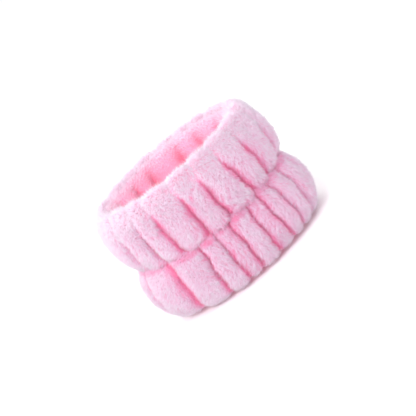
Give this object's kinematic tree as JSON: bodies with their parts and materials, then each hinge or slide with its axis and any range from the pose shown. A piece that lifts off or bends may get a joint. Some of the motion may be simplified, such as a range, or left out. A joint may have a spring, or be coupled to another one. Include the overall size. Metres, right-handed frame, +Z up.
{
  "type": "spa wristband",
  "caption": "Soft plush spa band: a flattened ring of gathered coral fleece in two puffy rows with a pinched waist, smooth lining and open middle, worn to soak up water.",
  "frame": {"origin": "middle of the band, at the height of the surface that its lower rim stands on", "axes": "+Z up through the wrist opening, +X along the long way of the flattened ring, -Y the front"},
  "size_m": [0.1, 0.068, 0.07],
  "materials": {
    "plush_fleece": "soft pink long-pile coral fleece",
    "lining_fleece": "short-nap pink fleece",
    "polyester_wadding": "loose white polyester fibre",
    "knitted_elastic": "white knitted braid",
    "sewing_thread": "pink spun polyester"
  },
  "bodies": {
    "root": {"plush_cover": "plush_fleece", "lining": "lining_fleece", "upper_wadding": "polyester_wadding", "lower_wadding": "polyester_wadding", "top_elastic": "knitted_elastic", "waist_elastic": "knitted_elastic", "bottom_elastic": "knitted_elastic", "top_elastic_tacks": "sewing_thread", "waist_elastic_tacks": "sewing_thread", "bottom_elastic_tacks": "sewing_thread", "top_rim_seam": "sewing_thread", "bottom_rim_seam": "sewing_thread", "waist_stitching": "sewing_thread", "cover_back_seam": "sewing_thread", "lining_back_seam": "sewing_thread"}
  },
  "joints": []
}
